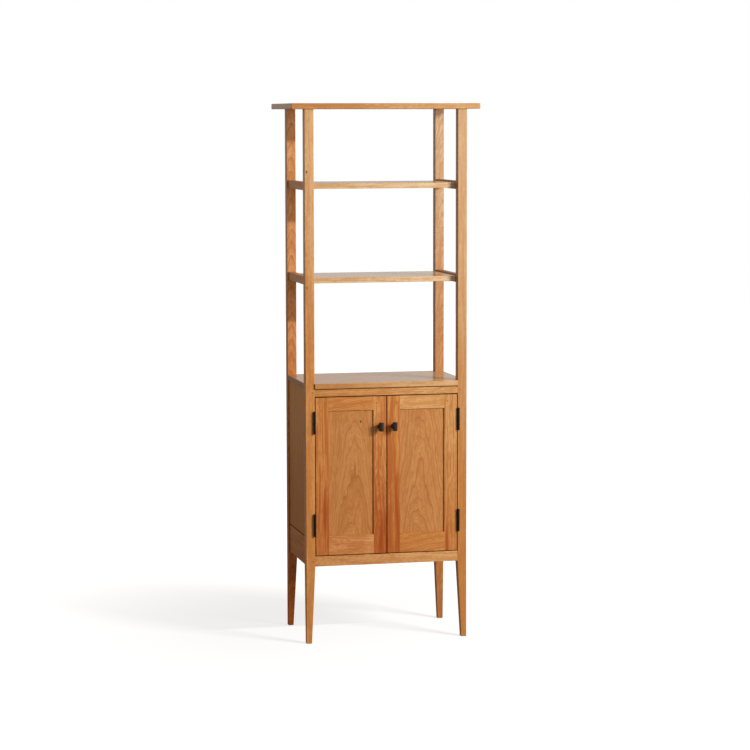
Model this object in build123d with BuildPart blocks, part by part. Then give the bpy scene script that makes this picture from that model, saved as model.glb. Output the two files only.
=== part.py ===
"""A tall cherry etagere: four posts, two open shelves and a two-door cabinet below.

Millimetres, +Z up, +Y towards the back. The origin is on the floor under the middle of
the whole piece, knobs and top overhang included. Left and right are as seen from the front.
"""
import os

from build123d import *

os.makedirs("parts", exist_ok=True)

# Overall sizes, with the frame measured over the outside of the posts
overall_height = 1850.0
frame_width = 568.0
frame_depth = 348.0
post_size = 32.0
foot_size = 19.0
foot_chamfer = 1.5
leg_height = 268.0
arris = 1.5

# Top board
top_thickness = 19.0
top_end_overhang = 45.0
top_front_overhang = 8.0
top_back_overhang = 12.0
top_arris = 2.0

# Shelves, deck and floor are all sawn from the same boards
board_thickness = 18.0
upper_bay_height = 252.0
middle_bay_height = 303.0
lower_bay_height = 341.0
shelf_setback = 28.0
deck_front_proud = 5.0
deck_end_inset = 1.0
deck_back_inset = 5.0
notch_clearance = 0.5

# Rails that run front to back between the posts
side_rail_thickness = 22.0
side_rail_inset = 5.0
shelf_rail_lip = 5.0
shelf_housing_depth = 8.0
side_bottom_rail_height = 97.0
side_tenon_length = 13.0
side_tenon_thickness = 10.0

# Rails that run across the front and the back
cross_rail_thickness = 20.0
front_top_rail_height = 27.0
deck_reveal_height = 3.5
deck_reveal_depth = 8.0
front_bottom_rail_height = 35.0
back_rail_height = 35.0
cross_tenon_length = 18.0
cross_tenon_thickness = 8.0
tenon_shoulder = 4.0

# Side panels, with a dark reveal above the bottom rail
side_panel_thickness = 12.0
side_panel_groove = 8.0
side_tongue_thickness = 6.0
side_reveal = 6.0

# Back panel, in grooves in the back posts and the back rails
back_panel_thickness = 6.0
back_panel_inset = 8.0
back_panel_groove = 8.0

# Doors, inset flush with the posts
door_gap = 2.5
door_end_gap = 3.5
meeting_gap = 3.0
door_thickness = 20.0
stile_width = 45.0
door_top_rail_height = 46.0
door_bottom_rail_height = 66.0
door_panel_thickness = 9.0
door_panel_recess = 4.5
door_groove = 9.0
door_tenon_length = 28.0
door_tenon_shoulder = 8.0

# Hinges
hinge_length = 74.0
hinge_tip = 2.2
hinge_tip_taper = 30.0
hinges_apart = 1.0
knuckle_count = 5
knuckle_gap = 0.3
barrel_diameter = 8.5
barrel_proud = 4.5
pin_diameter = 4.0
pin_clearance = 0.05
leaf_thickness = 1.2
leaf_width = 18.0
leaf_screw_from_face = 10.0
leaf_screw_pitch = 24.0

# Knobs
knob_projection = 26.0
knob_neck = 15.0
knob_neck_length = 9.0
knob_head_width = 18.0
knob_head_height = 31.0
knob_head_corner = 2.0
knob_head_thickness = 6.0
knob_crown = 3.0
knob_below_door_top = 103.5
knob_screw_diameter = 4.0
knob_screw_engagement = 12.0
knob_screw_head_diameter = 8.0
knob_screw_head_height = 2.5
knob_screw_head_round = 0.8

# Door stop with a magnet for each door
stop_depth = 18.0
stop_below_opening = 16.0
stop_clearance = 0.5
stop_end_clearance = 1.0
magnet_diameter = 10.0
magnet_depth = 4.0
strike_thickness = 1.5
strike_below_door_top = 6.5

# Inner shelf on pins
inner_shelf_below_middle = 8.5
inner_shelf_clearance = 2.0
shelf_pin_diameter = 5.0
shelf_pin_depth = 9.0
shelf_pin_reach = 8.0
shelf_pin_from_edge = 5.0
shelf_pin_pitch = 40.0
shelf_pin_rows = 5

# Cleats, pegs, dowels and screws
cleat_size = 18.0
cleat_screw_length = 28.0
cleat_screw_count = 3
cleat_screw_pitch = 100.0
peg_diameter = 4.8
peg_length = 18.0
post_peg_inset = 8.0
door_peg_inset = 11.0
dowel_diameter = 10.0
dowel_in_top = 12.0
dowel_in_post = 26.0
screw_head_diameter = 6.0
screw_shank_diameter = 3.6
leaf_screw_length = 15.0
screw_slot_width = 0.8
screw_slot_depth = 0.5

# Fits: room on each side of a joint, and spare depth at the bottom of a hole
joint_clearance = 0.1
hole_spare = 0.5

# Levels, worked down from the top and up from the floor
post_top = overall_height - top_thickness
upper_shelf_top = post_top - upper_bay_height
upper_shelf_bottom = upper_shelf_top - board_thickness
lower_shelf_top = upper_shelf_bottom - middle_bay_height
lower_shelf_bottom = lower_shelf_top - board_thickness
deck_top = lower_shelf_bottom - lower_bay_height
deck_bottom = deck_top - board_thickness
opening_top = deck_bottom - front_top_rail_height
opening_bottom = leg_height + front_bottom_rail_height
side_rail_top = leg_height + side_bottom_rail_height
side_panel_bottom = side_rail_top + side_reveal
floor_bottom = opening_bottom - board_thickness
back_panel_bottom = leg_height + back_rail_height
back_panel_top = deck_bottom - back_rail_height
inner_shelf_bottom = (opening_bottom + deck_bottom - board_thickness) / 2 - inner_shelf_below_middle

# Planes across the width and the depth
total_depth = knob_projection + frame_depth + top_back_overhang
front = knob_projection - total_depth / 2
back = front + frame_depth
half_width = frame_width / 2
post_inner = half_width - post_size
front_post_back = front + post_size
back_post_front = back - post_size
between_posts = frame_depth - 2 * post_size
between_cross_rails = frame_depth - 2 * cross_rail_thickness
side_rail_outer = half_width - side_rail_inset
side_rail_inner = side_rail_outer - side_rail_thickness
side_panel_inner = side_rail_outer - side_panel_thickness
back_panel_back = back - back_panel_inset
back_panel_front = back_panel_back - back_panel_thickness
cross_tenon_inset = (cross_rail_thickness - cross_tenon_thickness) / 2
inner_shelf_front = front + door_thickness + stop_clearance + inner_shelf_clearance
inner_shelf_back = back_panel_front - inner_shelf_clearance

# Door and hinge places on the right; the left door mirrors them
door_edge = post_inner - door_gap
meeting_edge = meeting_gap / 2
hinge_stile_inner = door_edge - stile_width
meeting_stile_inner = meeting_edge + stile_width
door_top = opening_top - door_end_gap
door_bottom = opening_bottom + door_end_gap
panel_opening_top = door_top - door_top_rail_height
panel_opening_bottom = door_bottom + door_bottom_rail_height
door_back = front + door_thickness
door_panel_front = front + door_panel_recess
door_panel_back = door_panel_front + door_panel_thickness
barrel_radius = barrel_diameter / 2
hinge_x = door_edge + barrel_radius
hinge_y = front - barrel_proud
# Each hinge ends level with the inner edge of a door rail, or else clear of the other hinge
half_hinge = hinge_tip + hinge_length / 2
door_middle = (door_bottom + door_top) / 2
least_from_middle = half_hinge + hinges_apart / 2
hinge_centres = {
    "upper": max(panel_opening_top - half_hinge, door_middle + least_from_middle),
    "lower": min(panel_opening_bottom + half_hinge, door_middle - least_from_middle),
}
knob_x = meeting_edge + stile_width / 2
knob_z = door_top - knob_below_door_top
strike_z = door_top - strike_below_door_top

SIDES = {"left": -1, "right": 1}
ENDS = {"front": -1, "back": 1}
UP, DOWN = (0, 0, 1), (0, 0, -1)
FORWARD, BACKWARD = (0, -1, 0), (0, 1, 0)
LOW = (Align.CENTER, Align.CENTER, Align.MIN)


def block(x, y, z, mode=Mode.ADD):
    """Adds, or cuts, a square-edged block that fills the x, y and z spans."""
    with Locations(tuple((low + high) / 2 for low, high in (x, y, z))):
        Box(*(abs(high - low) for low, high in (x, y, z)), mode=mode)


def rod(start, direction, length, diameter, mode=Mode.ADD):
    """Adds, or cuts, a round rod from a start point along a direction."""
    with Locations(Plane(origin=start, z_dir=direction)):
        Cylinder(diameter / 2, length, align=LOW, mode=mode)


def widened(span, room):
    """A span with the same room added at both ends."""
    low, high = sorted(span)
    return (low - room, high + room)


def screw(start, direction, length, room=0.0, mode=Mode.ADD):
    """A countersunk wood screw from its head's face inwards, or the hole that takes it."""
    head_height = (screw_head_diameter - screw_shank_diameter) / 2
    seat = Plane(origin=start, z_dir=direction)
    head_radius, shank_radius = screw_head_diameter / 2 + room, screw_shank_diameter / 2 + room
    with Locations(seat):
        Cone(head_radius, shank_radius, head_height, align=LOW, mode=mode)
    with Locations(seat.offset(head_height)):
        Cylinder(shank_radius, length - head_height + room, align=LOW, mode=mode)
    if mode == Mode.ADD:
        with Locations(seat):
            Box(screw_head_diameter, screw_slot_width, 2 * screw_slot_depth, mode=Mode.SUBTRACT)


def screw_hole(start, direction, length):
    """The pilot hole and countersink of a wood screw."""
    screw(start, direction, length, room=joint_clearance, mode=Mode.SUBTRACT)


def save(builder, name):
    """Labels a finished piece and writes it."""
    builder.part.label = name
    export_step(builder.part, f"parts/{name}.step")


# Places that two pieces share
def shelf_rail_span(shelf_bottom):
    """Height span of a shelf rail, with a lip below and above its shelf."""
    return (shelf_bottom - shelf_rail_lip, shelf_bottom + board_thickness + shelf_rail_lip)


def tenon_span(rail_span):
    """Height span of a rail's tenon, a shoulder in from each edge."""
    return widened(rail_span, -tenon_shoulder)


SHELVES = {"upper": upper_shelf_bottom, "lower": lower_shelf_bottom}
side_bottom_rail_span = (leg_height, side_rail_top)
side_rail_spans = [shelf_rail_span(z) for z in SHELVES.values()] + [side_bottom_rail_span]
side_rail_mid = side_rail_outer - side_rail_thickness / 2
side_tenon_x = widened((side_rail_mid, side_rail_mid), side_tenon_thickness / 2)

front_rail_spans = {
    "top": (opening_top, deck_bottom),
    "bottom": (leg_height, opening_bottom),
}
back_rail_spans = {
    "top": (back_panel_top, deck_bottom),
    "bottom": (leg_height, back_panel_bottom),
}
front_tenon_spans = {name: tenon_span(span) for name, span in front_rail_spans.items()}
# Back tenons stop short of the panel groove in the rail's inner edge
back_tenon_spans = {
    "top": tenon_span((back_panel_top + back_panel_groove, deck_bottom)),
    "bottom": tenon_span((leg_height, back_panel_bottom - back_panel_groove)),
}
front_tenon_y = widened((front, front + cross_rail_thickness), -cross_tenon_inset)
back_tenon_y = widened((back - cross_rail_thickness, back), -cross_tenon_inset)

shelf_pin_y = {
    "front": inner_shelf_front + shelf_pin_from_edge,
    "back": inner_shelf_back - shelf_pin_from_edge,
}
shelf_pin_z = inner_shelf_bottom - shelf_pin_diameter / 2
leaf_screw_z = [
    centre + step * leaf_screw_pitch for centre in hinge_centres.values() for step in (-1, 0, 1)
]
leaf_screw_y = front + leaf_screw_from_face
cleat_screw_y = [
    (front + back) / 2 + (index - (cleat_screw_count - 1) / 2) * cleat_screw_pitch
    for index in range(cleat_screw_count)
]
# Each pair of cleats: its outer face and the underside of the board that it holds
CLEATS = {"deck": (side_panel_inner, deck_bottom), "floor": (side_rail_inner, floor_bottom)}
door_tenon_spans = {
    "top": (panel_opening_top + door_groove, door_top - door_tenon_shoulder),
    "bottom": (door_bottom + door_tenon_shoulder, panel_opening_bottom - door_groove),
}
door_tenon_y = (door_panel_front, door_panel_back)


def post_centre(side, end):
    """Middle of a post's section."""
    edge = front if end < 0 else back
    return (side * (half_width - post_size / 2), edge - end * post_size / 2)


def cleat_screw_places(name):
    """Heads of the screws that go up through a pair of cleats."""
    outer, board_bottom = CLEATS[name]
    return [
        (side * (outer - cleat_size / 2), y, board_bottom - cleat_size)
        for side in SIDES.values() for y in cleat_screw_y
    ]


# Posts, one piece from foot to top
def make_post(side_name, end_name):
    """A square post that tapers on its two inside faces below the cabinet."""
    side, end = SIDES[side_name], ENDS[end_name]
    edge = front if end < 0 else back
    inner_face = edge - end * post_size
    centre = post_centre(side, end)
    foot_centre = (side * (half_width - foot_size / 2), edge - end * foot_size / 2)
    with BuildPart() as post:
        with BuildSketch(Plane.XY):
            with Locations(foot_centre):
                RectangleRounded(foot_size - 2 * foot_chamfer, foot_size - 2 * foot_chamfer, arris)
        with BuildSketch(Plane.XY.offset(foot_chamfer)):
            with Locations(foot_centre):
                RectangleRounded(foot_size, foot_size, arris)
        with BuildSketch(Plane.XY.offset(leg_height)):
            with Locations(centre):
                RectangleRounded(post_size, post_size, arris)
        loft(ruled=True)
        with BuildSketch(Plane.XY.offset(leg_height)):
            with Locations(centre):
                RectangleRounded(post_size, post_size, arris)
        extrude(amount=post_top - leg_height)
        rod(
            (*centre, post_top), DOWN, dowel_in_post + hole_spare,
            dowel_diameter + 2 * joint_clearance, Mode.SUBTRACT,
        )
        # Mortises for the shelf rails and the side bottom rail
        depth = side_tenon_length + hole_spare
        for span in side_rail_spans:
            block(
                [side * x for x in widened(side_tenon_x, joint_clearance)],
                (inner_face, inner_face + end * depth),
                widened(tenon_span(span), joint_clearance),
                Mode.SUBTRACT,
            )
        # Groove for the side panel, from its lower edge up to the deck
        block(
            [side * x for x in widened((side_panel_inner, side_rail_outer), joint_clearance)],
            (inner_face, inner_face + end * (side_panel_groove + hole_spare)),
            (side_panel_bottom - joint_clearance, deck_bottom),
            Mode.SUBTRACT,
        )
        # Mortises for the cross rails
        tenons = front_tenon_spans if end < 0 else back_tenon_spans
        for span in tenons.values():
            block(
                (side * post_inner, side * (post_inner + cross_tenon_length + hole_spare)),
                widened(front_tenon_y if end < 0 else back_tenon_y, joint_clearance),
                widened(span, joint_clearance),
                Mode.SUBTRACT,
            )
        # Row of holes for the inner shelf's pins
        for row in range(shelf_pin_rows):
            z = shelf_pin_z + (row - (shelf_pin_rows - 1) / 2) * shelf_pin_pitch
            rod(
                (side * post_inner, shelf_pin_y[end_name], z), (side, 0, 0), shelf_pin_depth + hole_spare,
                shelf_pin_diameter + 2 * joint_clearance, Mode.SUBTRACT,
            )
        if end < 0:
            for span in front_rail_spans.values():
                rod(
                    (side * (post_inner + post_peg_inset), front, sum(span) / 2), BACKWARD,
                    peg_length + hole_spare, peg_diameter + 2 * joint_clearance, Mode.SUBTRACT,
                )
            for z in leaf_screw_z:
                head = (side * (post_inner - leaf_thickness), leaf_screw_y, z)
                screw_hole(head, (side, 0, 0), leaf_screw_length)
        else:
            block(
                (side * post_inner, side * (post_inner + back_panel_groove + hole_spare)),
                widened((back_panel_front, back_panel_back), joint_clearance),
                (back_panel_bottom - back_panel_groove, back_panel_top + back_panel_groove),
                Mode.SUBTRACT,
            )
    save(post, f"{end_name}_{side_name}_post")


for side_name in SIDES:
    for end_name in ENDS:
        make_post(side_name, end_name)

# Top board, held on the posts by dowels
top_y = (front - top_front_overhang, back + top_back_overhang)
top_length = frame_width + 2 * top_end_overhang
with BuildPart() as top_board:
    with BuildSketch(Plane.XY.offset(post_top)):
        with Locations((0, sum(top_y) / 2)):
            Rectangle(top_length, top_y[1] - top_y[0])
    extrude(amount=top_thickness)
    fillet(top_board.edges(), top_arris)
    for side in SIDES.values():
        for end in ENDS.values():
            rod(
                (*post_centre(side, end), post_top), UP, dowel_in_top + hole_spare,
                dowel_diameter + 2 * joint_clearance, Mode.SUBTRACT,
            )
save(top_board, "top_board")

with BuildPart() as top_dowels:
    for side in SIDES.values():
        for end in ENDS.values():
            rod(
                (*post_centre(side, end), post_top - dowel_in_post), UP,
                dowel_in_post + dowel_in_top, dowel_diameter,
            )
save(top_dowels, "top_dowels")


# Open shelves, notched round the posts, with their ends housed in the shelf rails
def make_shelf(name, bottom):
    """A shelf board whose ends reach into the housings of its two rails."""
    end_reach = side_rail_inner + shelf_housing_depth - hole_spare
    with BuildPart() as shelf:
        with BuildSketch(Plane.XY.offset(bottom)):
            with Locations((0, (front + back) / 2)):
                Rectangle(2 * (post_inner - notch_clearance), frame_depth - 2 * shelf_setback)
                Rectangle(2 * end_reach, between_posts - 2 * notch_clearance)
        extrude(amount=board_thickness)
        long_edges = shelf.edges().filter_by(Axis.X).group_by(Axis.Y)
        fillet(long_edges[0] + long_edges[-1], arris)
    save(shelf, f"{name}_shelf")


def make_side_rail(name, side, span, housing=None):
    """A rail between a front and a back post, with a tenon at each end."""
    inner, outer = side * side_rail_inner, side * side_rail_outer
    with BuildPart() as rail:
        block((inner, outer), (front_post_back, back_post_front), span)
        fillet(rail.edges().filter_by(Axis.Y), arris)
        block(
            [side * x for x in side_tenon_x],
            (front_post_back - side_tenon_length, back_post_front + side_tenon_length),
            tenon_span(span),
        )
        if housing:
            block(
                (inner, inner + side * shelf_housing_depth), (front_post_back, back_post_front),
                widened(housing, joint_clearance), Mode.SUBTRACT,
            )
        else:
            # Groove in the top edge for the side panel's tongue
            tongue = (side_panel_inner, side_panel_inner + side_tongue_thickness)
            block(
                [side * x for x in widened(tongue, joint_clearance)], (front_post_back, back_post_front),
                (side_rail_top - side_panel_groove - hole_spare, side_rail_top), Mode.SUBTRACT,
            )
    save(rail, name)


for name, bottom in SHELVES.items():
    make_shelf(name, bottom)
    for side_name, side in SIDES.items():
        housing = (bottom, bottom + board_thickness)
        make_side_rail(f"{name}_shelf_{side_name}_rail", side, shelf_rail_span(bottom), housing)
for side_name, side in SIDES.items():
    make_side_rail(f"{side_name}_side_bottom_rail", side, side_bottom_rail_span)


# Side panels, set in the posts, with a tongue down into the bottom rail
def make_side_panel(side_name):
    """A flat side panel that leaves a reveal above the bottom rail."""
    side = SIDES[side_name]
    inner = side * side_panel_inner
    with BuildPart() as panel:
        block(
            (inner, side * side_rail_outer),
            widened((front_post_back, back_post_front), side_panel_groove),
            (side_panel_bottom, deck_bottom),
        )
        block(
            (inner, inner + side * side_tongue_thickness),
            widened((front_post_back, back_post_front), -notch_clearance),
            (side_rail_top - side_panel_groove, side_panel_bottom),
        )
    save(panel, f"{side_name}_side_panel")


for side_name in SIDES:
    make_side_panel(side_name)


# Cross rails at the front and the back
def make_cross_rail(name, y, span, tenon_y, tenon_z):
    """A rail between two posts, with a tenon at each end."""
    with BuildPart() as rail:
        block((-post_inner, post_inner), y, span)
        fillet(rail.edges().filter_by(Axis.X), arris)
        reach = post_inner + cross_tenon_length
        block((-reach, reach), tenon_y, tenon_z)
        if name == "front_top_rail":
            # Rebate that leaves a shadow line under the deck's front edge
            block(
                (-post_inner, post_inner), (front, front + deck_reveal_depth),
                (deck_bottom - deck_reveal_height, deck_bottom), Mode.SUBTRACT,
            )
        if name.startswith("front"):
            for side in SIDES.values():
                rod(
                    (side * (post_inner + post_peg_inset), front, sum(span) / 2), BACKWARD,
                    peg_length + hole_spare, peg_diameter + 2 * joint_clearance, Mode.SUBTRACT,
                )
        else:
            inner_edge = span[0] if "top" in name else span[1]
            block(
                (-post_inner, post_inner), widened((back_panel_front, back_panel_back), joint_clearance),
                widened((inner_edge, inner_edge), back_panel_groove + hole_spare), Mode.SUBTRACT,
            )
    save(rail, name)


for level, span in front_rail_spans.items():
    front_y = (front, front + cross_rail_thickness)
    make_cross_rail(f"front_{level}_rail", front_y, span, front_tenon_y, front_tenon_spans[level])
for level, span in back_rail_spans.items():
    back_y = (back - cross_rail_thickness, back)
    make_cross_rail(f"back_{level}_rail", back_y, span, back_tenon_y, back_tenon_spans[level])

with BuildPart() as back_panel:
    reach = post_inner + back_panel_groove
    block(
        (-reach, reach), (back_panel_front, back_panel_back),
        (back_panel_bottom - back_panel_groove, back_panel_top + back_panel_groove),
    )
save(back_panel, "back_panel")

with BuildPart() as frame_pegs:
    for side in SIDES.values():
        for span in front_rail_spans.values():
            place = (side * (post_inner + post_peg_inset), front, sum(span) / 2)
            rod(place, BACKWARD, peg_length, peg_diameter)
save(frame_pegs, "frame_pegs")

# Deck over the cabinet, notched round the four posts, its front edge proud
deck_y = (front - deck_front_proud, back - deck_back_inset)
with BuildPart() as deck:
    with BuildSketch(Plane.XY.offset(deck_bottom)):
        with Locations((0, sum(deck_y) / 2)):
            Rectangle(2 * (post_inner - notch_clearance), deck_y[1] - deck_y[0])
        with Locations((0, (front + back) / 2)):
            Rectangle(frame_width - 2 * deck_end_inset, between_posts - 2 * notch_clearance)
    extrude(amount=board_thickness)
    cross_edges = deck.edges().filter_by(Axis.X).group_by(Axis.Y)
    end_edges = deck.edges().filter_by(Axis.Y).group_by(Axis.X)
    fillet(cross_edges[0] + cross_edges[-1] + end_edges[0] + end_edges[-1], arris)
    for place in cleat_screw_places("deck"):
        screw_hole(place, UP, cleat_screw_length)
save(deck, "cabinet_deck")

# Floor of the cabinet, level with the front bottom rail and notched round the posts
with BuildPart() as floor:
    with BuildSketch(Plane.XY.offset(floor_bottom)):
        with Locations((0, (front + back) / 2)):
            Rectangle(2 * (post_inner - notch_clearance), between_cross_rails - 2 * notch_clearance)
            Rectangle(2 * (side_rail_inner - notch_clearance), between_posts - 2 * notch_clearance)
    extrude(amount=board_thickness)
    for place in cleat_screw_places("floor"):
        screw_hole(place, UP, cleat_screw_length)
save(floor, "cabinet_floor")

# Cleats under the deck and the floor, glued to the sides and screwed upwards
for name, (outer, board_bottom) in CLEATS.items():
    with BuildPart() as cleats:
        for side in SIDES.values():
            block(
                (side * outer, side * (outer - cleat_size)),
                widened((front_post_back, back_post_front), -notch_clearance),
                (board_bottom - cleat_size, board_bottom),
            )
        for place in cleat_screw_places(name):
            screw_hole(place, UP, cleat_screw_length)
    save(cleats, f"{name}_cleats")

with BuildPart() as cleat_screws:
    for name in CLEATS:
        for place in cleat_screw_places(name):
            screw(place, UP, cleat_screw_length)
save(cleat_screws, "cleat_screws")

# Inner shelf, resting on four pins
with BuildPart() as inner_shelf:
    with BuildSketch(Plane.XY.offset(inner_shelf_bottom)):
        with Locations((0, (inner_shelf_front + inner_shelf_back) / 2)):
            Rectangle(2 * (post_inner - inner_shelf_clearance), inner_shelf_back - inner_shelf_front)
    extrude(amount=board_thickness)
    fillet(inner_shelf.edges().filter_by(Axis.X).group_by(Axis.Y)[0], arris)
save(inner_shelf, "inner_shelf")

with BuildPart() as shelf_pins:
    for side in SIDES.values():
        for y in shelf_pin_y.values():
            start = (side * (post_inner + shelf_pin_depth), y, shelf_pin_z)
            rod(start, (-side, 0, 0), shelf_pin_depth + shelf_pin_reach, shelf_pin_diameter)
save(shelf_pins, "shelf_pins")

# Door stop under the deck, with a magnet let into it for each door
stop_front = door_back + stop_clearance
with BuildPart() as door_stop:
    reach = min(post_inner, side_panel_inner - cleat_size) - stop_end_clearance
    stop_bottom = opening_top - stop_below_opening
    block((-reach, reach), (stop_front, stop_front + stop_depth), (stop_bottom, deck_bottom))
    for side in SIDES.values():
        rod(
            (side * knob_x, stop_front, strike_z), BACKWARD, magnet_depth + joint_clearance,
            magnet_diameter + 2 * joint_clearance, Mode.SUBTRACT,
        )
save(door_stop, "door_stop")

with BuildPart() as stop_magnets:
    for side in SIDES.values():
        rod((side * knob_x, stop_front, strike_z), BACKWARD, magnet_depth, magnet_diameter)
save(stop_magnets, "stop_magnets")


# Doors: a pegged frame with a flat panel in its grooves
def door_peg_places(side):
    """The four pegs of a door, one through each tenon, on the door's front face."""
    columns = (meeting_stile_inner - door_peg_inset, hinge_stile_inner + door_peg_inset)
    return [
        (side * x, front, sum(span) / 2) for x in columns for span in door_tenon_spans.values()
    ]


def cut_door_pegs(side):
    """Cuts the peg holes of a door in the piece being made."""
    for place in door_peg_places(side):
        rod(
            place, BACKWARD, peg_length + joint_clearance, peg_diameter + 2 * joint_clearance, Mode.SUBTRACT
        )


def make_stile(name, side, outer, inner):
    """A door stile with its panel groove and two mortises in the inner edge."""
    inward = 1 if inner > outer else -1
    groove_y = widened(door_tenon_y, joint_clearance)
    with BuildPart() as stile:
        block((side * outer, side * inner), (front, door_back), (door_bottom, door_top))
        outer_edges = stile.edges().filter_by(Axis.Z).sort_by(Axis.X)
        fillet(outer_edges[:2] if side * outer < side * inner else outer_edges[-2:], arris)
        block(
            (side * inner, side * (inner - inward * door_groove)), groove_y,
            (panel_opening_bottom - door_groove, panel_opening_top + door_groove), Mode.SUBTRACT,
        )
        for span in door_tenon_spans.values():
            block(
                (side * inner, side * (inner - inward * (door_tenon_length + hole_spare))), groove_y,
                widened(span, joint_clearance), Mode.SUBTRACT,
            )
        cut_door_pegs(side)
        if inward < 0:
            for z in leaf_screw_z:
                head = (side * (outer + leaf_thickness), leaf_screw_y, z)
                screw_hole(head, (-side, 0, 0), leaf_screw_length)
        else:
            rod(
                (side * knob_x, door_back, knob_z), FORWARD, door_thickness,
                knob_screw_diameter + 2 * joint_clearance, Mode.SUBTRACT,
            )
            rod(
                (side * knob_x, door_back, strike_z), FORWARD, strike_thickness + joint_clearance,
                magnet_diameter + 2 * joint_clearance, Mode.SUBTRACT,
            )
    save(stile, name)


def make_door_rail(name, side, level, span):
    """A door rail with a tenon at each end and the panel groove in its inner edge."""
    inner_edge = span[0] if level == "top" else span[1]
    tenon_ends = widened((meeting_stile_inner, hinge_stile_inner), door_tenon_length)
    with BuildPart() as rail:
        block((side * meeting_stile_inner, side * hinge_stile_inner), (front, door_back), span)
        block([side * x for x in tenon_ends], door_tenon_y, door_tenon_spans[level])
        block(
            (side * meeting_stile_inner, side * hinge_stile_inner), widened(door_tenon_y, joint_clearance),
            widened((inner_edge, inner_edge), door_groove), Mode.SUBTRACT,
        )
        cut_door_pegs(side)
    save(rail, name)


def make_knob(name, side):
    """A round neck that flares to an upright oblong head with a bowed front."""
    head_back = knob_projection - knob_head_thickness
    face = Plane(origin=(side * knob_x, front, knob_z), x_dir=(1, 0, 0), z_dir=FORWARD)
    with BuildPart() as knob:
        with BuildSketch(face):
            Circle(knob_neck / 2)
        extrude(amount=knob_neck_length)
        with BuildSketch(face.offset(knob_neck_length)):
            RectangleRounded(knob_neck, knob_neck, knob_neck / 2 - joint_clearance)
        with BuildSketch(face.offset(head_back)):
            RectangleRounded(knob_head_width, knob_head_height, knob_head_corner)
        loft(ruled=True)
        with BuildSketch(face.offset(head_back)):
            RectangleRounded(knob_head_width, knob_head_height, knob_head_corner)
        extrude(amount=knob_head_thickness)
        # The front is bowed from side to side
        with BuildSketch(Plane(origin=(side * knob_x, front, knob_z))):
            with BuildLine():
                shoulder = knob_projection - knob_crown
                half = knob_head_width / 2
                ThreePointArc((-half, -shoulder), (0, -knob_projection), (half, -shoulder))
                Polyline((half, -shoulder), (half, 0), (-half, 0), (-half, -shoulder))
            make_face()
        extrude(amount=knob_head_height, both=True, mode=Mode.INTERSECT)
        rod(
            (side * knob_x, front, knob_z), FORWARD, knob_screw_engagement + hole_spare,
            knob_screw_diameter + 2 * joint_clearance, Mode.SUBTRACT,
        )
    save(knob, name)


def make_leaves(name, side, low_x, high_x, own_knuckles):
    """The two leaves of one door's hinges on one side of the gap, with their knuckles."""
    pitch = hinge_length / knuckle_count
    with BuildPart() as leaves:
        for centre in hinge_centres.values():
            bottom = centre - hinge_length / 2
            block(
                (side * low_x, side * high_x), (front, front + leaf_width), (bottom, bottom + hinge_length)
            )
            for index in own_knuckles:
                span = widened((bottom + index * pitch, bottom + (index + 1) * pitch), -knuckle_gap / 2)
                block((side * low_x, side * high_x), (hinge_y, front), span)
                rod((side * hinge_x, hinge_y, span[0]), UP, span[1] - span[0], barrel_diameter)
            rod(
                (side * hinge_x, hinge_y, bottom), UP, hinge_length,
                pin_diameter + 2 * pin_clearance, Mode.SUBTRACT,
            )
        # The door's screws go inwards from its leaf, the post's outwards
        on_door = low_x == door_edge
        for z in leaf_screw_z:
            head = (side * (high_x if on_door else low_x), leaf_screw_y, z)
            screw_hole(head, (-side if on_door else side, 0, 0), leaf_screw_length)
    save(leaves, name)


def make_hinge_pins(name, side):
    """The two pins of one door's hinges, with a domed tip at each end."""
    tip_radius = barrel_radius
    with BuildPart() as pins:
        for centre in hinge_centres.values():
            start = centre - hinge_length / 2
            rod((side * hinge_x, hinge_y, start), UP, hinge_length, pin_diameter)
            for end_z, direction in ((start, DOWN), (start + hinge_length, UP)):
                with BuildSketch(Plane(origin=(side * hinge_x, hinge_y, end_z), z_dir=direction)):
                    Circle(tip_radius)
                extrude(amount=hinge_tip, taper=hinge_tip_taper)
    save(pins, name)


def make_door(side_name):
    """Every piece that swings with one door."""
    side = SIDES[side_name]
    door = f"{side_name}_door"
    make_stile(f"{door}_hinge_stile", side, door_edge, hinge_stile_inner)
    make_stile(f"{door}_meeting_stile", side, meeting_edge, meeting_stile_inner)
    make_door_rail(f"{door}_top_rail", side, "top", (panel_opening_top, door_top))
    make_door_rail(f"{door}_bottom_rail", side, "bottom", (door_bottom, panel_opening_bottom))
    tongue = door_groove - hole_spare
    with BuildPart() as panel:
        block(
            (side * (meeting_stile_inner - tongue), side * (hinge_stile_inner + tongue)),
            (door_panel_front, door_panel_back),
            (panel_opening_bottom - tongue, panel_opening_top + tongue),
        )
    save(panel, f"{door}_panel")
    with BuildPart() as pegs:
        for place in door_peg_places(side):
            rod(place, BACKWARD, peg_length, peg_diameter)
    save(pegs, f"{door}_pegs")
    make_knob(f"{door}_knob", side)
    with BuildPart() as knob_screw:
        rod(
            (side * knob_x, door_back, knob_z), FORWARD, door_thickness + knob_screw_engagement,
            knob_screw_diameter,
        )
        rod((side * knob_x, door_back, knob_z), BACKWARD, knob_screw_head_height, knob_screw_head_diameter)
        fillet(knob_screw.edges().sort_by(Axis.Y)[-1], knob_screw_head_round)
    save(knob_screw, f"{door}_knob_screw")
    with BuildPart() as strike:
        rod((side * knob_x, door_back, strike_z), FORWARD, strike_thickness, magnet_diameter)
    save(strike, f"{door}_strike")
    make_leaves(f"{door}_hinge_leaves", side, door_edge, door_edge + leaf_thickness, (1, 3))
    with BuildPart() as door_screws:
        for z in leaf_screw_z:
            head = (side * (door_edge + leaf_thickness), leaf_screw_y, z)
            screw(head, (-side, 0, 0), leaf_screw_length)
    save(door_screws, f"{door}_hinge_screws")


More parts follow.
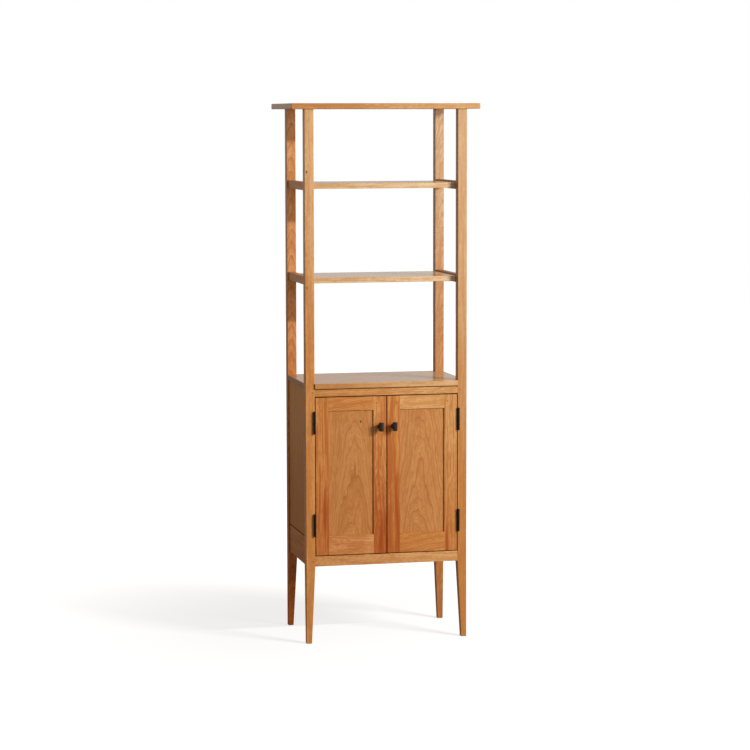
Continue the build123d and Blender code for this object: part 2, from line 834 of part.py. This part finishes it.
for side_name, side in SIDES.items():
    make_door(side_name)
    make_leaves(
        f"{side_name}_hinge_frame_leaves", side, post_inner - leaf_thickness, post_inner, (0, 2, 4)
    )
    make_hinge_pins(f"{side_name}_hinge_pins", side)

with BuildPart() as frame_hinge_screws:
    for side in SIDES.values():
        for z in leaf_screw_z:
            screw((side * (post_inner - leaf_thickness), leaf_screw_y, z), (side, 0, 0), leaf_screw_length)
save(frame_hinge_screws, "frame_hinge_screws")
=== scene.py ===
import math

import bpy
import numpy as np
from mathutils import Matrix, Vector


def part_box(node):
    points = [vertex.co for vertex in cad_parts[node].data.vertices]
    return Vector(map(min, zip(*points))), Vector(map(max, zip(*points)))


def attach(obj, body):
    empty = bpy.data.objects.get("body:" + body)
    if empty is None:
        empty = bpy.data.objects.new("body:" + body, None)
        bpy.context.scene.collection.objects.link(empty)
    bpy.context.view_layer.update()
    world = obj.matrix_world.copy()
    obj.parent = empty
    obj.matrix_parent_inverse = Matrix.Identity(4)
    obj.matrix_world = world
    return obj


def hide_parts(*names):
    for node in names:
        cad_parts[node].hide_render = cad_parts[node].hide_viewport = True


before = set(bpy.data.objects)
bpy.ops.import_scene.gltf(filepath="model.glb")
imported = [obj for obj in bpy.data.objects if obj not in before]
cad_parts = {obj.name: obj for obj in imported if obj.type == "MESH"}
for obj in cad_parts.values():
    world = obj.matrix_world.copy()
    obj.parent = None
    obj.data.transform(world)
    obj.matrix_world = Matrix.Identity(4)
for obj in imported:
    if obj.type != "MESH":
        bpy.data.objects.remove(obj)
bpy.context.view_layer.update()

# Corner posts: four square sticks of cherry that run from the floor to the top board and carry
# every other piece. Planed, eased along the arrises, tapered below the case on the two inner
# faces, and wiped with oil to a satin sheen.


class Shade:
    """One value in a material's node tree. Sums, products and powers of values add Math nodes."""

    def __init__(self, tree, socket=None):
        self.tree, self.socket = tree, socket

    def node(self, kind, settings=None, inputs=None, out=0):
        """Adds a node of that kind, sets its settings first, then fills or links its sockets."""
        made = self.tree.nodes.new(kind)
        for key, value in (settings or {}).items():
            setattr(made, key, value)
        for key, value in (inputs or {}).items():
            if isinstance(value, Shade):
                self.tree.links.new(value.socket, made.inputs[key])
            else:
                made.inputs[key].default_value = value
        return Shade(self.tree, made.outputs[out])

    def math(self, operation, *values):
        """A Math node of that operation on the values."""
        return self.node("ShaderNodeMath", {"operation": operation}, dict(enumerate(values)))

    def __add__(self, other):
        return self.math("ADD", self, other)

    def __sub__(self, other):
        return self.math("SUBTRACT", self, other)

    def __rsub__(self, other):
        return self.math("SUBTRACT", other, self)

    def __mul__(self, other):
        return self.math("MULTIPLY", self, other)

    def __truediv__(self, other):
        return self.math("DIVIDE", self, other)

    def __pow__(self, other):
        return self.math("POWER", self, other)

    __radd__, __rmul__ = __add__, __mul__

    def vector(self, operation, *values, out=0):
        """Vector Math of that operation on this vector and the others."""
        inputs = dict(enumerate((self, *values)))
        return self.node("ShaderNodeVectorMath", {"operation": operation}, inputs, out)

    def ease(self, low, high):
        """0 up to low, 1 from high on, and a smooth rise between."""
        inputs = {"Value": self, "From Min": low, "From Max": high}
        return self.node("ShaderNodeMapRange", {"interpolation_type": "SMOOTHSTEP"}, inputs)

    def blend(self, first, second):
        """The first colour where this share is 0 and the second where it is 1."""
        inputs = {0: self, 6: first, 7: second}
        return self.node("ShaderNodeMix", {"data_type": "RGBA"}, inputs, out=2)

    def feed(self, shader, socket):
        """Links this value to that socket of a shader."""
        self.tree.links.new(self.socket, shader.inputs[socket])


def seen(red, green, blue):
    """A colour as it shows on a screen, 0 to 255 each, in the light values that shaders take."""
    share = np.array((red, green, blue)) / 255
    light = np.where(share <= 0.04045, share / 12.92, ((share + 0.055) / 1.055) ** 2.4)
    return (*light.tolist(), 1.0)


def cherry(name, grain, heart, colour, light_and_tone_colour=None, fade=None, *, seed, peak=0.02, ring=0.005,
           wander=0.006, figure=1.0, even=0.2, line=1.2, sharp=4.0, red=0.25, curl=0.0,
           gloss=0.42, sheen=0.2, coat=0.0, dull=1.0, stains=(), knots=()):
    """Oiled cherry, as a solid block of the tree.

    Yearly rings, ring metres apart, lie round the heart line, a line along the grain at the two
    places in heart. A point's ring is its distance from that line plus peak times its place along
    the grain, so that a board sawn beside the heart shows nested arches. Noise stretched along
    the grain makes the rings wander, streaks the colour and raises the fibres. The colour turns
    to the second colour given between the two places in fade. That turn is mostly painted light:
    pieces are painted paler toward the top and toward the right, where more lamp light and sheen
    fall, and darker low down where shade falls. Some of it is the wood's own tone.

    figure is the strength of the pale and deep bands, and line that of the dark line that ends a
    year. The line is thinner the higher sharp is, and as dark in every year as even is near to 1.
    red is the strength of the red heart streaks, and curl that of a ripple across the grain.
    gloss is the roughness, sheen the specular level, coat the weight of the oil film, and dull
    how much darker and duller the sawn ends are.

    Stains are soft red-brown patches, each given by its place on the front (x, z), its half width
    and half height, and its strength. Knots are dark pins, each given by its place and its size.
    """
    made = bpy.data.materials.new(name)
    made.use_nodes = True
    shader = made.node_tree.nodes["Principled BSDF"]
    start = Shade(made.node_tree)
    along = "xyz".index(grain)
    across = [axis for axis in range(3) if axis != along]
    place = start.node("ShaderNodeTexCoord", out="Object")
    facing = start.node("ShaderNodeTexCoord", out="Normal")

    def stretched(cross, length, detail, shift, out="Fac", base=place):
        """Noise with that many waves to a metre across and along the grain."""
        waves = [cross] * 3
        waves[along] = length
        offset = [seed * 1.7 + shift, seed * 2.9 - shift, seed * 0.9 + 2 * shift]
        spot = base.vector("MULTIPLY_ADD", waves, offset)
        inputs = {"Vector": spot, "Scale": 1.0, "Detail": detail}
        return start.node("ShaderNodeTexNoise", None, inputs, out)

    # How the trunk wanders and ripples, then the distance of each point from its heart
    middle = (0.5, 0.5, 0.5)
    bend = stretched(cross=12, length=4.0, detail=2.0, shift=0.0, out="Color")
    bend = bend.vector("SUBTRACT", middle).vector("MULTIPLY", [2.4 * wander] * 3)
    ripple = stretched(cross=90, length=16, detail=1.0, shift=7.0, out="Color")
    ripple = ripple.vector("SUBTRACT", middle).vector("MULTIPLY", [0.45 * wander] * 3)
    centre = [0.0, 0.0, 0.0]
    centre[across[0]], centre[across[1]] = heart
    flat = [1.0, 1.0, 1.0]
    flat[along] = 0.0
    off = place.vector("ADD", bend).vector("ADD", ripple).vector("SUBTRACT", centre)
    run = place.node("ShaderNodeSeparateXYZ", None, {0: place}, out=along)
    slow = stretched(cross=26, length=5.0, detail=2.0, shift=17.0)
    distance = off.vector("MULTIPLY", flat).vector("LENGTH", out="Value")

    # A year's wood ends in a dark line, with fainter lines about three times a year
    years = (distance + run * peak) / ring + slow * 2.2
    season, part = years.math("FRACT", years), years.math("FRACT", years * 3.3)
    year = years.math("FLOOR", years)
    harsh = start.node("ShaderNodeTexWhiteNoise", {"noise_dimensions": "1D"}, {"W": year}, "Value")
    late = season**sharp * (1 - season.ease(0.90, 1.0)) * (harsh**2 * (1 - even) + even)
    late = start.math("MAXIMUM", late, part**2 * (1 - part.ease(0.85, 1.0)) * 0.35)

    # Pale and deep bands, red heart streaks, a cloudy mottle, short flecks, fibres and pores
    swayed = place.vector("ADD", bend).vector("ADD", bend)
    streak = stretched(cross=165, length=3.5, detail=3.0, shift=3.0, base=swayed)
    warm = stretched(cross=110, length=2.6, detail=2.0, shift=11.0, base=swayed)
    cloud = stretched(cross=45, length=14, detail=2.0, shift=19.0)
    broad, narrow = (start.node("ShaderNodeTexNoise", {"noise_dimensions": "1D"}, {
        "W": years * pace + seed * 7.3, "Scale": 1.0, "Detail": 1.0}) for pace in (0.45, 1.6))
    fleck = stretched(cross=150, length=60, detail=2.0, shift=13.0)
    band = broad * 0.26 + narrow * 0.24 + streak * 0.34 + fleck * 0.34 + cloud * 0.30 - 0.24
    fibre = stretched(cross=900, length=22, detail=2.0, shift=5.0)
    pore = stretched(cross=1900, length=70, detail=1.0, shift=9.0).ease(0.66, 0.74)

    # Each tint multiplies the wood's colour
    pale, deep = (1.12, 1.18, 1.28, 1.0), (0.88, 0.79, 0.68, 1.0)
    russet, late_brown = (0.80, 0.55, 0.38, 1.0), (0.70, 0.55, 0.40, 1.0)
    stain_red, knot_brown = (0.66, 0.38, 0.22, 1.0), (0.20, 0.10, 0.06, 1.0)
    fibre_brown, pore_brown = (0.62, 0.50, 0.40, 1.0), (0.40, 0.26, 0.18, 1.0)
    sawn_brown = (0.50, 0.42, 0.36, 1.0)
    tint = ((band.ease(0.41, 0.59) - 0.5) * figure + 0.5).blend(pale, deep)
    tint = (warm.ease(0.49, 0.59) * red).blend(tint, russet)
    tint = (late * line).blend(tint, late_brown)
    if curl:
        curl_length = 0.022
        wave = run * (2 * math.pi / curl_length) + (warm + streak) * 16
        tint = (wave.math("SINE", wave).ease(-0.6, 1.0) * curl).blend(tint, late_brown)
    for x, z, half_width, half_height, strength in stains:
        gap = place.vector("ADD", bend).vector("SUBTRACT", (x, 0.0, z))
        gap = gap.vector("MULTIPLY", (1 / half_width, 0.0, 1 / half_height))
        patch = gap.vector("LENGTH", out="Value") + (streak - 0.5) * 1.8
        tint = ((1 - patch.ease(0.35, 1.0)) * strength).blend(tint, stain_red)
    for x, z, size in knots:
        gap = place.vector("SUBTRACT", (x, 0.0, z))
        gap = gap.vector("MULTIPLY", (1 / size, 0.0, 0.6 / size))
        patch = gap.vector("LENGTH", out="Value") + (fibre - 0.5) * 0.5
        tint = (1 - patch.ease(0.4, 1.0)).blend(tint, knot_brown)
    tint = ((fibre - 0.5) * 0.30 + 0.10).blend(tint, fibre_brown)
    tint = (pore * 0.35).blend(tint, pore_brown)

    # Sawn ends soak up the oil: they are darker and duller than the planed faces
    axis = [0.0, 0.0, 0.0]
    axis[along] = 1.0
    lean = facing.vector("DOT_PRODUCT", axis, out="Value")
    end = lean.math("ABSOLUTE", lean).ease(0.6, 0.95)
    tint = (end * 0.75 * dull).blend(tint, sawn_brown)
    # Mostly painted light: toward the second colour the wood is painted paler where more lamp light
    # and sheen fall, and darker where shade falls
    wood = run.ease(*fade).blend(colour, light_and_tone_colour) if light_and_tone_colour else colour
    settings = {"data_type": "RGBA", "blend_type": "MULTIPLY"}
    start.node("ShaderNodeMix", settings, {0: 1.0, 6: wood, 7: tint}, 2).feed(shader, "Base Color")
    (gloss + (fibre - 0.5) * 0.16 + late * 0.06 + end * 0.16 * dull).feed(shader, "Roughness")
    height = fibre * 0.5 + streak * 0.3 - pore * 0.8 - late * 0.25
    inputs = {"Strength": 0.10, "Distance": 0.0005, "Height": height}
    start.node("ShaderNodeBump", None, inputs).feed(shader, "Normal")
    shader.inputs["Specular IOR Level"].default_value = sheen
    if coat:
        ((1 - end * dull) * coat).feed(shader, "Coat Weight")
        shader.inputs["Coat Roughness"].default_value = 0.2
    return made


def dress(finish, *names):
    """Gives CAD nodes that finish, in the slots that they came with."""
    for name in names:
        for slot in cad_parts[name].material_slots:
            slot.material = finish


# Each post is painted paler toward its top: painted light, where more lamp light and sheen fall on
# the upper part. The back left post's dark lower end is painted shade from the case.
dress(cherry("front_left_post_cherry", "z", (-0.350, -0.040), seen(206, 142, 78),
             seen(220, 176, 126), (0.90, 1.80), seed=1, peak=0.004, figure=0.85,
             knots=((-0.2768, 1.619, 0.004), (-0.2773, 1.2267, 0.003))), "front_left_post")
dress(cherry("front_right_post_cherry", "z", (0.320, -0.020), seen(185, 126, 65),
             seen(198, 162, 120), (0.45, 1.65), seed=2, peak=0.003, figure=0.5, line=0.6),
      "front_right_post")
dress(cherry("back_left_post_cherry", "z", (-0.268, 0.172), seen(189, 107, 43),
             seen(217, 160, 105), (0.10, 1.75), seed=3, peak=0.13, ring=0.0065, wander=0.005,
             even=0.8, line=1.9), "back_left_post")
dress(cherry("back_right_post_cherry", "z", (0.282, 0.172), seen(182, 120, 63),
             seen(204, 173, 136), (0.55, 1.90), seed=4, peak=0.11, ring=0.0060, wander=0.005,
             figure=0.9, even=0.7, line=1.4), "back_right_post")

# Case rails: cherry rails tenoned into the posts, above and below the doors at the front, across
# the back, and along the bottom of each side. Each tenon is pinned by a peg through the post.
rail_colour, side_colour = seen(198, 136, 80), seen(197, 128, 68)
case_width = (-0.25, 0.25)
top_rail_grain = dict(even=0.6, line=1.7, sharp=3.5)
bottom_rail_grain = dict(line=1.6, sharp=3.5)
# The front rails are painted paler toward the right: painted light, where more lamp light and sheen
# fall.
dress(cherry("front_top_rail_cherry", "x", (-0.100, 0.900), seen(202, 142, 80),
             seen(206, 156, 102), case_width, seed=5, ring=0.004, figure=1.6, **top_rail_grain),
      "front_top_rail")
dress(cherry("front_bottom_rail_cherry", "x", (-0.160, 0.215), seen(206, 148, 91),
             seen(210, 160, 106), case_width, seed=6, peak=0.08, figure=1.7, curl=0.3,
             **bottom_rail_grain), "front_bottom_rail")
dress(cherry("back_rails_cherry", "x", (0.120, 0.700), rail_colour, seed=7),
      "back_top_rail", "back_bottom_rail")
dress(cherry("side_rails_cherry", "y", (0.330, 0.240), side_colour, seed=8, sheen=0.1, gloss=0.5),
      "left_side_bottom_rail", "right_side_bottom_rail")

# Side and back panels: flat cherry boards let into grooves in the posts and rails, with a narrow
# open reveal above the side rail. The grain stands upright.
panel_colour = seen(188, 127, 70)
panel_grain = dict(peak=0.11, ring=0.008, wander=0.012, figure=0.7, even=0.5, red=0.15, line=1.8,
                   sharp=5.0)
# The left side panel is painted paler toward its top: painted light and sheen on its shaded face.
dress(cherry("left_side_panel_cherry", "z", (-0.300, 0.040), seen(196, 129, 65),
             seen(223, 160, 94), (0.45, 0.85), seed=9, peak=0.05, figure=0.7, sheen=0.1, gloss=0.5),
      "left_side_panel")
dress(cherry("right_side_panel_cherry", "z", (0.250, 0.000), panel_colour, seed=10, **panel_grain),
      "right_side_panel")
dress(cherry("back_panel_cherry", "z", (0.020, 0.120), panel_colour, seed=11, **panel_grain),
      "back_panel")

# Case floor, deck and their cleats: glued-up cherry boards that close the case below and above.
# Screws through cleats on the sides hold them, so that they can move with the seasons.
deck_colour = seen(198, 143, 84)
dress(cherry("cabinet_floor_cherry", "x", (0.000, 0.180), deck_colour, seed=12), "cabinet_floor")
# The deck is painted paler toward the right: painted light, where more lamp light and sheen fall.
dress(cherry("cabinet_deck_cherry", "x", (-0.140, 1.060), deck_colour, seen(207, 166, 114),
             case_width, seed=13, peak=0.01, sheen=0.1, coat=0.8, dull=0.6), "cabinet_deck")
dress(cherry("cleats_cherry", "y", (0.200, 0.700), side_colour, seed=14),
      "deck_cleats", "floor_cleats")

# Open shelves: two cherry boards, each housed at its ends in a pair of side rails that stand a
# little above and below it. The rails are tenoned into the posts.
# The shelves are painted paler toward their right ends: painted light, where more lamp light and
# sheen fall.
shelf_colour, shelf_right_painted_light_colour = seen(217, 179, 128), seen(219, 187, 144)
dress(cherry("upper_shelf_cherry", "x", (-0.220, 1.480), shelf_colour, shelf_right_painted_light_colour,
             case_width, seed=15, peak=0.01, sheen=0.1, coat=0.8), "upper_shelf")
dress(cherry("lower_shelf_cherry", "x", (-0.240, 1.170), shelf_colour, shelf_right_painted_light_colour,
             case_width, seed=16, peak=0.01, sheen=0.1, coat=1.0), "lower_shelf")
# The left rails are painted paler than the right ones: painted light and sheen on their outer
# faces, which only the room lights.
dress(cherry("left_shelf_rails_cherry", "y", (-0.330, 1.400), seen(222, 152, 84), seed=16.5,
             sheen=0.12), "upper_shelf_left_rail", "lower_shelf_left_rail")
dress(cherry("right_shelf_rails_cherry", "y", (0.330, 1.400), seen(190, 130, 76), seed=17,
             sheen=0.12), "upper_shelf_right_rail", "lower_shelf_right_rail")

# Top board: one wide cherry board that stands out past the posts on all sides, held from below
# by a dowel in each post head.
# The top board is painted paler toward the right: painted light, where more lamp light and sheen
# fall.
dress(cherry("top_board_cherry", "x", (-0.300, 1.780), seen(202, 143, 83), seen(203, 159, 106),
             case_width, seed=18, peak=0.01, coat=0.32, dull=0.0), "top_board")
dress(cherry("top_dowels_cherry", "z", (0.270, 0.000), rail_colour, seed=19), "top_dowels")

# Pegs: short round pins of straight-grained cherry driven through posts and stiles to lock the
# tenons, cut flush. Their end grain shows as darker dots.
peg_colour = seen(182, 114, 60)
dress(cherry("frame_pegs_cherry", "y", (0.260, 0.880), peg_colour, seed=20, dull=0.7),
      "frame_pegs", "left_door_pegs", "right_door_pegs")

# Inner shelf: a loose cherry board behind the doors. It rests on four small steel pins that push
# into holes in the posts.
dress(cherry("inner_shelf_cherry", "x", (0.020, 0.500), deck_colour, seed=21), "inner_shelf")


def metal(name, colour, worn, *, roughness, metallic, seed, grit, spot, sheen=0.5):
    """A metal finish: one colour that turns to a second where noise shows wear, with roughness
    and a slight unevenness from the same noise. The noise has grit fine and spot coarse grains to
    a metre."""
    made = bpy.data.materials.new(name)
    made.use_nodes = True
    shader = made.node_tree.nodes["Principled BSDF"]
    start = Shade(made.node_tree)
    place = start.node("ShaderNodeTexCoord", out="Object")
    shifted = place.vector("ADD", (seed, 2 * seed, 3 * seed))
    fine, coarse = (start.node("ShaderNodeTexNoise", None, {
        "Vector": shifted, "Scale": grains, "Detail": detail}) for grains, detail in (
            (grit, 3.0), (spot, 2.0)))
    wear = (fine * 0.4 + coarse * 0.6).ease(0.50, 0.66)
    wear.blend(colour, worn).feed(shader, "Base Color")
    (roughness + (fine - 0.5) * 0.2 - wear * 0.08).feed(shader, "Roughness")
    shader.inputs["Metallic"].default_value = metallic
    shader.inputs["Specular IOR Level"].default_value = sheen
    inputs = {"Strength": 0.15, "Distance": 0.0003, "Height": fine * 0.5 + coarse * 0.5}
    start.node("ShaderNodeBump", None, inputs).feed(shader, "Normal")
    return made


steel = metal("bright_steel", seen(190, 190, 188), seen(150, 149, 146), roughness=0.32,
              metallic=1.0, seed=1, grit=900, spot=120)
dress(steel, "shelf_pins", "cleat_screws")

# Door stop: a cherry strip behind the top rail of the opening, with a round magnet let into it
# for each door, that meets a steel strike in the door.
dress(cherry("door_stop_cherry", "x", (-0.100, 0.800), rail_colour, seed=22), "door_stop")
dress(steel, "stop_magnets", "left_door_strike", "right_door_strike")

# Hinges: black steel butt hinges, let in flush, with the round barrel standing proud of the
# front. Five knuckles turn on a loose pin with domed ends.
hinge_black = metal("hinge_black", seen(20, 17, 15), seen(32, 27, 24), roughness=0.46,
                    metallic=0.0, seed=2, grit=700, spot=160, sheen=0.15)
dress(hinge_black, "left_hinge_frame_leaves", "right_hinge_frame_leaves", "left_hinge_pins",
      "right_hinge_pins", "left_door_hinge_leaves", "right_door_hinge_leaves")
brass = metal("screw_brass", seen(176, 140, 74), seen(140, 108, 56), roughness=0.34,
              metallic=1.0, seed=3, grit=900, spot=140)
dress(brass, "frame_hinge_screws", "left_door_hinge_screws", "right_door_hinge_screws")

# Doors: a cherry frame of two stiles and two rails, pegged at the corners, round a flat panel
# that floats in a groove and is set back from the frame. The arches of the panels point up.
# The door pieces change colour up their height and across the right door: mostly painted light,
# paler higher up where more lamp light and sheen fall. Some of the change is the wood's own tone.
door_height, right_door_width = (0.36, 0.80), (0.05, 0.20)
stile_grain = dict(peak=0.004, figure=1.4, even=0.5, line=1.5)
dress(cherry("left_hinge_stile_cherry", "z", (-0.300, -0.080), seen(191, 115, 56),
             seen(204, 140, 75), door_height, seed=31, red=1.1, **stile_grain,
             stains=((-0.2178, 0.450, 0.008, 0.12, 1.0),)), "left_door_hinge_stile")
dress(cherry("left_meeting_stile_cherry", "z", (-0.026, -0.146), seen(180, 102, 44),
             seen(205, 143, 82), door_height, seed=32, peak=0.10, figure=1.1, even=0.5, line=1.4,
             red=1.0, stains=((-0.020, 0.360, 0.012, 0.09, 0.8),
                              (-0.0205, 0.654, 0.005, 0.02, 0.6))), "left_door_meeting_stile")
dress(cherry("right_meeting_stile_cherry", "z", (0.080, -0.090), seen(187, 115, 54),
             seen(199, 134, 70), door_height, seed=33, red=1.1, **stile_grain,
             stains=((0.0358, 0.450, 0.007, 0.20, 0.9),)), "right_door_meeting_stile")
dress(cherry("right_hinge_stile_cherry", "z", (0.310, -0.090), seen(190, 124, 66),
             seen(198, 146, 88), door_height, seed=34, red=0.9, **stile_grain,
             stains=((0.2141, 0.335, 0.008, 0.08, 1.0),)), "right_door_hinge_stile")
dress(cherry("left_top_rail_cherry", "x", (-0.120, 0.900), seen(202, 136, 73), seed=35, peak=0.15,
             figure=1.7, red=0.4, **top_rail_grain), "left_door_top_rail")
dress(cherry("right_top_rail_cherry", "x", (-0.100, 0.930), seen(211, 161, 103),
             seen(204, 153, 95), right_door_width, seed=36, figure=1.8, red=0.15,
             **top_rail_grain), "right_door_top_rail")
dress(cherry("left_bottom_rail_cherry", "x", (-0.150, 0.330), seen(203, 138, 80),
             seen(211, 152, 97), (-0.09, -0.055), seed=37, peak=0.06, figure=1.6, curl=0.25,
             red=0.2, **bottom_rail_grain), "left_door_bottom_rail")
dress(cherry("right_bottom_rail_cherry", "x", (-0.150, 0.300), seen(194, 127, 64),
             seen(199, 136, 73), right_door_width, seed=38, peak=-0.15, figure=2.0, even=0.6,
             line=1.8, sharp=3.5), "right_door_bottom_rail")
dress(cherry("left_panel_cherry", "z", (-0.113, -0.112), seen(193, 131, 72), seen(193, 134, 75),
             door_height, seed=39, knots=((-0.0911, 0.7646, 0.004),), **panel_grain),
      "left_door_panel")
dress(cherry("right_panel_cherry", "z", (0.118, -0.112), seen(191, 131, 74), seen(192, 134, 77),
             door_height, seed=40, **panel_grain), "right_door_panel")

# Knobs: dark bronze castings, a round neck that flares to an upright oblong head whose front is
# bowed from side to side. A screw through the stile holds each one.
bronze = metal("knob_bronze", seen(40, 30, 24), seen(76, 63, 55), roughness=0.35, metallic=0.6,
               seed=4, grit=600, spot=120)


def closed_skin(name, rings):
    """A mesh of rings of points (ring, place on the ring, x y z), joined ring to ring, with a point
    in the middle of the first and the last ring to close the ends."""
    count, around = rings.shape[:2]
    points = np.concatenate((rings.reshape(-1, 3), rings[[0, -1]].mean(axis=1)))
    ring, step = np.meshgrid(np.arange(count - 1), np.arange(around), indexing="ij")
    here, beside = ring * around + step, ring * around + (step + 1) % around
    quads = np.stack((here, beside, beside + around, here + around), axis=-1).reshape(-1, 4)
    first, end = np.arange(around), (count - 1) * around + np.arange(around)
    low_fan = np.stack((np.roll(first, -1), first, np.full(around, count * around)), axis=-1)
    high_fan = np.stack((end, np.roll(end, -1), np.full(around, count * around + 1)), axis=-1)
    mesh = bpy.data.meshes.new(name)
    mesh.from_pydata(points.tolist(), [], quads.tolist() + low_fan.tolist() + high_fan.tolist())
    mesh.shade_smooth()
    made = bpy.data.objects.new(name, mesh)
    bpy.context.scene.collection.objects.link(made)
    return made


def knob_rings(low, high):
    """Rings of a knob from the door's face outwards. Each ring is |u / wide|^n + |w / tall|^n = 1,
    round at the neck (n = 2) and squarer at the head (n = 6), and the neck swells to the head by
    3 t^2 - 2 t^3. The sides of the head are a little hollow, its rim is rounded off, and its front
    bows out by 1 - (u / half width)^2."""
    centre_x, face_y, centre_z = (low.x + high.x) / 2, high.y, (low.z + high.z) / 2
    half_wide, half_tall, reach = (high.x - low.x) / 2, (high.z - low.z) / 2, high.y - low.y
    neck, foot_swell, foot_fade = 0.0082, 0.0012, 0.05
    flare_start, flare_length = 0.25 * reach, 0.55 * reach
    crown, rim, side_hollow = 0.0030, 0.0009, 0.05
    neck_power, head_power = 2.0, 6.0
    rim_start = reach - crown - rim

    # From the door: the neck and the flare, the rounded rim, then the front in to its middle
    body = np.linspace(0.0, 1.0, 26)
    swell = np.clip((body * rim_start - flare_start) / flare_length, 0.0, 1.0)
    swell = swell * swell * (3 - 2 * swell)
    neck_half = neck + foot_swell * np.exp(-body / foot_fade)
    curve = np.linspace(0.0, math.pi / 2, 7)[1:]
    front = np.linspace(1.0, 0.04, 12)[1:]
    head = np.ones(curve.size + front.size)
    wide, tall = (np.concatenate((
        neck_half + (half - neck) * swell, half - rim * (1 - np.cos(curve)),
        (half - rim) * front)) for half in (half_wide, half_tall))
    out = np.concatenate((body * rim_start, reach - crown - rim * (1 - np.sin(curve)),
                          np.full(front.size, reach - crown)))
    power = np.concatenate((neck_power + (head_power - neck_power) * swell**2, head_power * head))
    bowed = np.concatenate((np.clip((body - 0.8) / 0.2, 0.0, 1.0), head))[:, None]

    # Round each ring
    angle = np.linspace(0.0, 2 * math.pi, 96, endpoint=False)
    u, w = (np.sign(wave) * np.abs(wave) ** (2 / power)[:, None]
            for wave in (np.cos(angle), np.sin(angle)))
    u = wide[:, None] * u * (1 - side_hollow * bowed * (1 - w**2))
    y = face_y - out[:, None] - bowed * crown * (1 - (u / half_wide) ** 2)
    return np.stack((centre_x + u, y, centre_z + tall[:, None] * w), axis=-1)


for side in ("left", "right"):
    knob = closed_skin(f"{side}_knob", knob_rings(*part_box(f"{side}_door_knob")))
    knob.data.materials.append(bronze)
    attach(knob, f"{side}_door")
    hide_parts(f"{side}_door_knob")
dress(steel, "left_door_knob_screw", "right_door_knob_screw")

# Floor: a plain pale floor, not part of the piece. It keeps the shadow near the piece and turns
# white further off, as the ground of the photograph is.
floor_half = 14.0
floor_grey, floor_gloss = 0.36, 0.1
near_white, white_start, white_end = 0.74, 0.4, 2.0
floor_mesh = bpy.data.meshes.new("floor")
floor_mesh.from_pydata(
    [(-floor_half, -floor_half, 0), (floor_half, -floor_half, 0), (floor_half, floor_half, 0),
     (-floor_half, floor_half, 0)], [], [(0, 1, 2, 3)])
floor = bpy.data.objects.new("floor", floor_mesh)
bpy.context.scene.collection.objects.link(floor)
floor_paint = bpy.data.materials.new("floor_paint")
floor_paint.use_nodes = True
floor_shader = floor_paint.node_tree.nodes["Principled BSDF"]
floor_start = Shade(floor_paint.node_tree)
black, white = (0.0, 0.0, 0.0, 1.0), (1.0, 1.0, 1.0, 1.0)


def background_rays(start, gloss):
    """1 for the rays that see the white background, the camera's and those through glass, and a
    lesser share for those that gloss throws back, as from a greyer room round the white sheet."""
    straight, thrown, through = (start.node("ShaderNodeLightPath", out=kind) for kind in (
        "Is Camera Ray", "Is Glossy Ray", "Is Transmission Ray"))
    return start.math("MAXIMUM", start.math("MAXIMUM", straight, through), thrown * gloss)


floor_place = floor_start.node("ShaderNodeTexCoord", out="Object")
floor_far = floor_place.vector("LENGTH", out="Value").ease(white_start, white_end)
floor_glow = floor_far * (1 - near_white) + near_white
floor_glow = floor_glow * background_rays(floor_start, floor_gloss)
floor_glow.blend(black, white).feed(floor_shader, "Emission Color")
floor_shader.inputs["Emission Strength"].default_value = 1.0
floor_shader.inputs["Base Color"].default_value = (floor_grey, floor_grey, floor_grey, 1.0)
floor_shader.inputs["Roughness"].default_value = 0.9
floor_shader.inputs["Specular IOR Level"].default_value = 0.0
floor_mesh.materials.append(floor_paint)

# Light: a long thin white strip, high at the right of the camera, and a wide, faintly warm box
# below it, both facing straight back and tilted down. Round them is an even room, white to the
# camera, greyer in gloss, and dim and warm where it fills the shadows.
fill_level, fill_colour, room_gloss = 0.30, (1.0, 0.90, 0.80, 1.0), 0.52
aim_y, aim_z = -0.10, 0.90
world = bpy.data.worlds.new("white_room")
world.use_nodes = True
bpy.context.scene.world = world
room = world.node_tree.nodes["Background"]
room_start = Shade(world.node_tree)
room_white = background_rays(room_start, room_gloss)
room_white.blend(fill_colour, white).feed(room, "Color")
(room_white * (1.0 - fill_level) + fill_level).feed(room, "Strength")
for lamp_name, lamp_place, lamp_wide, lamp_tall, lamp_power, lamp_colour in (
        ("high_strip", (3.10, -3.20, 2.88), 2.0, 0.12, 226.0, (1.0, 1.0, 1.0)),
        ("side_box", (3.10, -3.20, 1.70), 2.0, 1.2, 112.0, (1.0, 0.94, 0.88))):
    lamp_data = bpy.data.lights.new(lamp_name, "AREA")
    lamp_data.shape, lamp_data.size, lamp_data.size_y = "RECTANGLE", lamp_wide, lamp_tall
    lamp_data.energy, lamp_data.color = lamp_power, lamp_colour
    lamp = bpy.data.objects.new(lamp_name, lamp_data)
    lamp.location = lamp_place
    lamp_line = Vector((lamp_place[0], aim_y, aim_z)) - Vector(lamp_place)
    lamp.rotation_euler = lamp_line.to_track_quat("-Z", "Y").to_euler()
    bpy.context.scene.collection.objects.link(lamp)

# Camera: where the photograph was taken from, left of the front and a little above the middle of
# the piece. Its place, its turn and its long lens were fitted to the edges of the piece.
sensor, image_side, focal_pixels = 36.0, 750.0, 2512.34
camera_place = (-1.9596, -8.5098, 1.7961)
camera_data = bpy.data.cameras.new("camera")
camera_data.sensor_width = sensor
camera_data.lens = focal_pixels / image_side * sensor
camera_data.clip_end = 100.0
camera = bpy.data.objects.new("camera", camera_data)
yaw, pitch, roll = (math.radians(angle) for angle in (-12.95, 90.0 - 5.815, -0.111))
turn = Matrix.Rotation(yaw, 4, "Z") @ Matrix.Rotation(pitch, 4, "X")
turn = turn @ Matrix.Rotation(roll, 4, "Z")
camera.matrix_world = Matrix.Translation(camera_place) @ turn
bpy.context.scene.collection.objects.link(camera)
bpy.context.scene.camera = camera
bpy.context.scene.view_settings.view_transform = "Standard"
